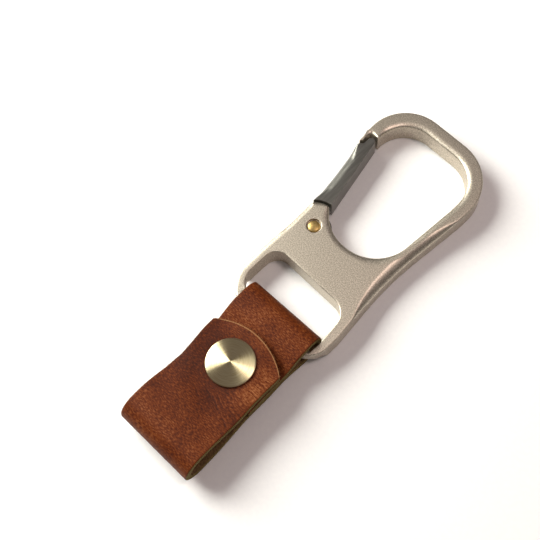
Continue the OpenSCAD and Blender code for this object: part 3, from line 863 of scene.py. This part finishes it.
def leather_piece(name, s0, s1, round_end, snap_s):
    """A stretch of the strap as a closed solid: rings round its cross-section, one after another."""
    half_w, lip = STRAP_W / 2, 0.38
    columns = np.linspace(-1, 1, 65)
    flat = columns * (half_w - lip)
    arc = np.linspace(0, math.pi / 2, 5)[1:]
    # One ring: the grain side from right to left, the left edge, the flesh side, the right edge
    top = [(-v, 1.0, 0) for v in flat]
    left = [(-(half_w - lip) - lip * math.sin(a), 1 - lip / HALF_T * (1 - math.cos(a)), 0 if k < 2 else 1)
            for k, a in enumerate(arc)]
    lower = [(-half_w, h, 1) for h in (0.25, -0.3)]
    corner_low = [(-half_w + 0.15 * (1 - math.cos(a)), -1 + 0.15 / HALF_T * (1 - math.sin(a)), 1)
                  for a in arc[:-1]]
    side = left + lower + corner_low
    bottom = [(v, -1.0, 2) for v in flat[::2] * ((half_w - 0.15) / (half_w - lip))]
    other = [(-v, h, m) for v, h, m in reversed(side)]
    ring = top + side + bottom + other
    v = np.array([r[0] for r in ring])
    h = np.array([r[1] for r in ring])
    part = [r[2] for r in ring]
    n = len(ring)
    steps = math.ceil((s1 - s0) / 0.35)
    s_rows = np.linspace(s0, s1, steps + 1)
    points, crease, cap_tone = [], [], []
    uv_s, uv_v = [], []
    for s in s_rows:
        s_here = np.full(n, s)
        if round_end:
            # The last stretch is gathered, so that the rows end on the tongue's arc
            cut = TONGUE_R - np.sqrt(TONGUE_R ** 2 - v ** 2)
            s_here = s_here - cut * max(0.0, (s - (s1 - 14)) / 14)
        p, out = at_path(s_here)
        deep = creases(s_here, v, snap_s) * (h > 0.9)
        lift = wander(s_here, v, snap_s)
        height = h * HALF_T - 0.06 * deep
        y = p[:, 0] + out[:, 0] * height
        z = p[:, 1] + out[:, 1] * height + lift
        x = v + edge_wander(s_here, v, snap_s)
        points += strap_point(x, y, z).tolist()
        # The crease depths also colour the leather: painted shade in the grooves, a painted highlight on the
        # lips.
        crease += deep.tolist()
        cap_tone += tone_about_cap(s_here, v, snap_s).tolist()
        uv_s += s_here.tolist()
        uv_v += v.tolist()
    rows = len(s_rows)
    faces, mats = [], []
    for r in range(rows - 1):
        for i in range(n):
            j = (i + 1) % n
            a, b = r * n, (r + 1) * n
            faces.append((a + i, b + i, b + j, a + j))
            mats.append(part[j] if part[i] != 1 else 1)
            if round_end and r > rows - 3 and part[i] == 0 and part[j] == 0:
                mats[-1] = 3
    # The two ends, ribbed across so that they stay flat
    for base, flip in ((0, False), ((rows - 1) * n, True)):
        loop = list(range(base, base + n))
        strip = []
        i, j = 0, n - 1
        while j - i > 1:
            strip.append((loop[i], loop[i + 1], loop[j]))
            i += 1
            if j - i > 1:
                strip.append((loop[i], loop[j - 1], loop[j]))
                j -= 1
        faces += [f[::-1] if flip else f for f in strip]
        mats += [3 if round_end and flip else 1] * len(strip)
    made = make_mesh(name, points, faces, [GRAIN, EDGE, FLESH, LIP], mats)
    layer = made.data.uv_layers.new(name="strap")
    index = np.zeros(len(made.data.loops), np.int32)
    made.data.loops.foreach_get("vertex_index", index)
    flat_uv = np.column_stack([np.array(uv_s)[index], np.array(uv_v)[index]])
    layer.data.foreach_set("uv", flat_uv.astype(np.float32).ravel())
    for label, values in (("crease", crease), ("cap_tone", cap_tone)):
        attribute = made.data.attributes.new(label, "FLOAT", "POINT")
        attribute.data.foreach_set("value", np.array(values, np.float32))
    smooth(made, 50)
    return made


def wander(s, v, snap_s):
    """Small rises and falls of the leather, and the dimple that the cap's rim presses in it."""
    from_snap = np.hypot(s - snap_s, v)
    on_tongue = smoothstep((s - (snap_s - 22)) / 6)
    dimple = -0.22 * np.exp(-((from_snap / 6.8) ** 6)) * on_tongue
    wave = 0.10 * np.sin(v * 0.33 + s * 0.21) * smoothstep((s - snap_s + 20) / 6)
    return dimple + wave * smoothstep((from_snap - 7) / 5)


def tone_about_cap(s, v, snap_s):
    """How dark the leather is: darker about the cap and more on its left, lighter just right of the cap."""
    from_snap = np.hypot(s - snap_s + 3, (v + 5) * 0.8)
    dark = np.exp(-((from_snap / 11) ** 2))
    # A lighter patch just right of the cap.
    polished = np.exp(-((np.hypot((s - snap_s + 1) * 0.6, v - 10) / 3.6) ** 2))
    return (dark - 1.1 * polished) * smoothstep((s - snap_s + 24) / 6)


# How far the tongue's left edge lies inwards, by the distance before the snap
LEFT_EDGE_AT = (-34, -30, -26, -23, -20, -16.5, -13, -9.5, -6.5, -3.5, 2)
LEFT_EDGE_IN = (0, -0.1, -0.25, -0.4, -0.45, -0.15, 0.28, 0.45, 0.6, 0.45, 0)


def edge_wander(s, v, snap_s):
    """The knife-cut edges aren't quite straight, and the left one draws in above the fold."""
    side = np.abs(v) / (STRAP_W / 2)
    left = np.interp(s - snap_s, LEFT_EDGE_AT, LEFT_EDGE_IN) * (v < 0) * side
    return 0.08 * np.sin(s * 0.35 + 1.3 * np.sign(v)) * side + left


def leather():
    total = (len(PATH) - 1) * PATH_STEP
    snap_s = total - TONGUE_REACH
    cut = split_at()
    strap = leather_piece("strap_leather", 0.0, cut, False, snap_s)
    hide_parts("strap_back")
    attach(strap, "strap")
    tongue = leather_piece("tongue_leather", cut, total, True, snap_s)
    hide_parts("strap_tongue")
    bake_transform(tongue)
    return strap, tongue


# ---- Snap ----
def rolled(r, z, radius, first, last, n, underneath=False):
    """Profile points of a rolled corner, whose centre is at r and z."""
    arc = np.linspace(first, last, n)
    if underneath:
        return [(r + radius * math.sin(a), z - radius * math.cos(a)) for a in arc]
    return [(r + radius * math.cos(a), z + radius * math.sin(a)) for a in arc]


def snap_cap():
    """Solid brass cap, spun to a shallow cone with a thin rim, and its tube down through the leather."""
    centre = (CAP_LOW + CAP_HIGH)[:2] / 2
    r = (CAP_HIGH[0] - CAP_LOW[0]) / 2
    base, top = TONGUE_Z + HALF_T, CAP_HIGH[2]
    rim = base + 0.6
    profile = [(0, base + 0.02), (TUBE_IN_R, base + 0.02), (TUBE_IN_R, CAP_LOW[2]), (TUBE_R, CAP_LOW[2]),
               (TUBE_R, base), (r - 0.35, base)]
    profile += rolled(r - 0.3, base + 0.3, 0.3, 0.3, 1.5, 5, underneath=True)
    profile += rolled(r - 0.28, rim - 0.28, 0.28, 0.1, 1.35, 6)
    profile += [(r * k, rim + (top - rim) * (1 - k) ** 0.96) for k in np.linspace(0.93, 0.06, 18)]
    profile += [(0, top - 0.03)]
    made = smooth(lathe("spun_cap", centre, profile, CAP_BRASS, n=144, uv=True), 35)
    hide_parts("snap_cap")
    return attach(made, "tongue")


def post_head():
    """Flat rivet head against the strap's back, with its post up to the stud."""
    centre = (POST_LOW + POST_HIGH)[:2] / 2
    r = (POST_HIGH[0] - POST_LOW[0]) / 2
    low, high = POST_LOW[2], POST_HIGH[2]
    profile = [(0, low), (r * 0.6, low + 0.02)]
    profile += rolled(r - 0.35, low + 0.37, 0.35, 0.2, 1.5, 6, underneath=True)
    profile += [(r, low + 0.6), (1.0, low + 0.6), (1.0, high), (0, high)]
    made = smooth(lathe("snap_post_head", centre, profile, PIN_BRASS, n=96, uv=True), 35)
    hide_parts("snap_post")
    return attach(made, "strap")


# ---- Wound and frayed details, made with geometry nodes ----
def new_tree(name, inputs):
    """A geometry tree with these named inputs, each (name, kind), and one geometry output."""
    tree = bpy.data.node_groups.new(name, "GeometryNodeTree")
    tree.interface.new_socket("Geometry", in_out="OUTPUT", socket_type="NodeSocketGeometry")
    for label, kind in inputs:
        tree.interface.new_socket(label, in_out="INPUT", socket_type="NodeSocket" + kind)
    return tree, add(tree, "NodeGroupInput").outputs


def end_tree(tree, geometry, material):
    real = add(tree, "GeometryNodeRealizeInstances", links={"Geometry": geometry})
    painted = add(tree, "GeometryNodeSetMaterial", values={"Material": material},
                  links={"Geometry": real.outputs[0]})
    add(tree, "NodeGroupOutput", links={0: painted.outputs[0]})
    return tree


def grow(obj, tree, values):
    """Runs a tree on an object, with its inputs set by name, and keeps the plain mesh that it makes."""
    m = obj.modifiers.new("grow", "NODES")
    m.node_group = tree
    for item in tree.interface.items_tree:
        if item.in_out == "INPUT" and item.name in values:
            m[item.identifier] = values[item.name]
    return evaluated_mesh(obj)


def tube(tree, curve, radius, sides):
    """A closed tube of this radius along a curve."""
    section = add(tree, "GeometryNodeCurvePrimitiveCircle", values={"Resolution": sides},
                  links={"Radius": radius})
    made = add(tree, "GeometryNodeCurveToMesh", values={"Fill Caps": True},
               links={"Curve": curve.outputs[0], "Profile Curve": section.outputs[0]})
    return made.outputs[0]


def wound_wire(material):
    """A wire wound in a coil, with a straight leg at each end, by its distance along the wire."""
    sizes = ("Coil radius", "Wire radius", "Pitch", "Turns", "Leg in", "Leg out", "Start angle")
    tree, given = new_tree("wound_wire", [(n, "Float") for n in (*sizes, "X", "Y", "Z")])
    radius = given["Coil radius"]
    winding = calc(tree, "MULTIPLY", calc(tree, "MULTIPLY", given["Turns"], math.tau), radius)
    total = calc(tree, "ADD", calc(tree, "ADD", winding, given["Leg in"]), given["Leg out"])
    part = add(tree, "GeometryNodeSplineParameter").outputs["Factor"]
    at = calc(tree, "SUBTRACT", calc(tree, "MULTIPLY", part, total), given["Leg in"])
    wound = calc(tree, "MINIMUM", calc(tree, "MAXIMUM", at, 0.0), winding)
    run = calc(tree, "SUBTRACT", at, wound)
    angle = calc(tree, "ADD", calc(tree, "DIVIDE", wound, radius), given["Start angle"])
    c, sn = calc(tree, "COSINE", angle), calc(tree, "SINE", angle)
    x = calc(tree, "SUBTRACT", calc(tree, "MULTIPLY", radius, c), calc(tree, "MULTIPLY", run, sn))
    y = calc(tree, "ADD", calc(tree, "MULTIPLY", radius, sn), calc(tree, "MULTIPLY", run, c))
    turned = calc(tree, "DIVIDE", wound, calc(tree, "MULTIPLY", radius, math.tau))
    z = calc(tree, "MULTIPLY", turned, given["Pitch"])
    at_centre = {i: calc(tree, "ADD", value, given["XYZ"[i]]) for i, value in enumerate((x, y, z))}
    place = add(tree, "ShaderNodeCombineXYZ", links=at_centre)
    line = add(tree, "GeometryNodeCurvePrimitiveLine", values={"End": (1.0, 0.0, 0.0)})
    fine = add(tree, "GeometryNodeResampleCurve", values={"Count": 220}, links={"Curve": line.outputs[0]})
    coil = add(tree, "GeometryNodeSetPosition",
               links={"Geometry": fine.outputs[0], "Position": place.outputs[0]})
    return end_tree(tree, tube(tree, coil, given["Wire radius"], 12), material)


def gate_coil():
    values = {"Coil radius": COIL_R, "Wire radius": WIRE_D / 2, "Pitch": WIRE_D * 1.15, "Leg in": 0.5,
              "Leg out": 2.2, "X": PIN[0], "Y": PIN[1], "Z": MID_Z - TANG_T / 2 + COIL_ROOM}
    values = {k: float(v * MM) for k, v in values.items()}
    values.update({"Turns": 3.0, "Start angle": math.radians(LEG_ANGLE - 90)})
    made = grow(make_mesh("gate_coil", [(0, 0, 0)], [], [WIRE]), wound_wire(WIRE), values)
    smooth(made, 50)
    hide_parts("gate_spring")
    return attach(made, "frame")


def frayed_rim(material):
    """Short fibres along an edge, each leaning outwards by its own amount."""
    tree, given = new_tree("frayed_rim", [("Rim", "Geometry"), ("Count", "Int"), ("Length", "Float"),
                                          ("Thickness", "Float"), ("Seed", "Int")])
    curve = add(tree, "GeometryNodeMeshToCurve", links={"Mesh": given["Rim"]})
    spots = add(tree, "GeometryNodeResampleCurve", links={"Curve": curve.outputs[0], "Count": given["Count"]})
    tip = add(tree, "ShaderNodeCombineXYZ", links={2: given["Length"]})
    middle = add(tree, "ShaderNodeCombineXYZ", links={0: calc(tree, "MULTIPLY", given["Length"], 0.3),
                                                      2: calc(tree, "MULTIPLY", given["Length"], 0.5)})
    fibre = add(tree, "GeometryNodeCurveQuadraticBezier", values={"Resolution": 4, "Start": (0.0, 0.0, 0.0)},
                links={"Middle": middle.outputs[0], "End": tip.outputs[0]})
    hair = tube(tree, fibre, given["Thickness"], 4)
    out = add(tree, "GeometryNodeInputNamedAttribute", {"data_type": "FLOAT_VECTOR"}, {"Name": "outward"})
    aim = add(tree, "FunctionNodeAlignRotationToVector", {"axis": "Z"}, links={"Vector": out.outputs[0]})
    lean = add(tree, "FunctionNodeRandomValue", {"data_type": "FLOAT_VECTOR"},
               {0: (-0.9, -0.9, -3.1), 1: (0.9, 0.9, 3.1)}, {"Seed": given["Seed"]})
    turn = add(tree, "FunctionNodeEulerToRotation", links={0: lean.outputs[0]})
    way = add(tree, "FunctionNodeRotateRotation", {"rotation_space": "LOCAL"},
              links={0: aim.outputs[0], 1: turn.outputs[0]})
    size = add(tree, "FunctionNodeRandomValue", {"data_type": "FLOAT"}, {2: 0.35, 3: 1.0},
               {"Seed": calc(tree, "ADD", given["Seed"], 1.0)}).outputs[1]
    placed = add(tree, "GeometryNodeInstanceOnPoints", links={
        "Points": spots.outputs[0], "Instance": hair, "Rotation": way.outputs[0], "Scale": size})
    return end_tree(tree, placed.outputs[0], material)


def tongue_fibres():
    """Leather fibres that stand out of the cut at the tongue's round end."""
    total = (len(PATH) - 1) * PATH_STEP
    v = np.linspace(-STRAP_W / 2 + 0.5, STRAP_W / 2 - 0.5, 61)
    s = total - (TONGUE_R - np.sqrt(TONGUE_R ** 2 - v ** 2))
    p, out = at_path(s)
    lift = wander(s, v, total - TONGUE_REACH)
    height = HALF_T - 0.2
    rim = strap_point(v, p[:, 0] + out[:, 0] * height, p[:, 1] + out[:, 1] * height + lift)
    obj = bpy.data.objects.new("tongue_fibres", bpy.data.meshes.new("tongue_fibres"))
    bpy.context.scene.collection.objects.link(obj)
    obj.data.from_pydata((rim * MM).tolist(), [(i, i + 1) for i in range(len(v) - 1)], [])
    c, sn = math.cos(STRAP_TURN), math.sin(STRAP_TURN)
    a, b = v / TONGUE_R, np.sqrt(1 - (v / TONGUE_R) ** 2)
    outward = np.column_stack([a * c - b * sn, a * sn + b * c, np.full(len(v), 0.35)])
    attribute = obj.data.attributes.new("outward", "FLOAT_VECTOR", "POINT")
    attribute.data.foreach_set("vector", outward.astype(np.float32).ravel())
    values = {"Count": 100, "Length": 0.65 * MM, "Thickness": 0.035 * MM, "Seed": 7}
    made = grow(obj, frayed_rim(LIP), values)
    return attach(made, "tongue")


def cad_finishes():
    """The inner pieces keep their CAD shape and get their metal."""
    for node, material in (("snap_socket", BRASS), ("snap_stud", BRASS), ("snap_ring", WIRE)):
        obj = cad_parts[node]
        obj.data.materials.clear()
        obj.data.materials.append(material)


frame_casting()
gate_arm()
hinge_pin()
leather()
snap_cap()
post_head()
gate_coil()
tongue_fibres()
cad_finishes()


# ---- Floor and light ----
def floor():
    made, tree = new_material("matt_white_card")
    where = add(tree, "ShaderNodeTexCoord").outputs["Object"]
    fibre = noise(tree, where, 1.2, 3.0)
    finish_material(tree, {"Roughness": 0.6, "Specular IOR Level": 0.3},
                    {"Base Color": ramp(tree, fibre, [(0.3, "#F4F4F5"), (0.7, "#F8F8F8")])})
    size = 1500.0
    corners = [(-size, -size, 0), (size, -size, 0), (size, size, 0), (-size, size, 0)]
    obj = make_mesh("floor", corners, [(0, 1, 2, 3)], [made])


def soft_box(name, direction, distance, size, power, colour):
    data = bpy.data.lights.new(name, "AREA")
    data.shape = "RECTANGLE"
    data.size, data.size_y = size
    data.energy = power
    data.color = linear(colour)[:3]
    obj = bpy.data.objects.new(name, data)
    bpy.context.scene.collection.objects.link(obj)
    way = Vector(direction).normalized()
    obj.location = way * distance
    obj.rotation_mode = "QUATERNION"
    obj.rotation_quaternion = way.to_track_quat("Z", "Y")


def studio():
    world = bpy.data.worlds.new("studio")
    bpy.context.scene.world = world
    world.use_nodes = True
    tree = world.node_tree
    tree.nodes.clear()
    way = add(tree, "ShaderNodeTexCoord").outputs["Generated"]
    height = add(tree, "ShaderNodeSeparateXYZ", links={"Vector": way}).outputs["Z"]
    sky = ramp(tree, height, [(0.0, "#2E2A29"), (0.35, "#4E4847"), (0.7, "#7B7473"), (1.0, "#827B7A")])
    glow = add(tree, "ShaderNodeBackground", values={"Strength": 1.0}, links={"Color": sky})
    add(tree, "ShaderNodeOutputWorld", links={"Surface": glow.outputs[0]})
    soft_box("window", (-0.78, -0.22, 0.57), 0.5, (0.34, 0.34), 5.3, "#FFFEF6")
    soft_box("ceiling", (0.28, 0.23, 0.93), 0.5, (0.12, 0.12), 0.6, "#FFEAE4")


floor()
studio()
bpy.context.scene.view_settings.view_transform = "Standard"
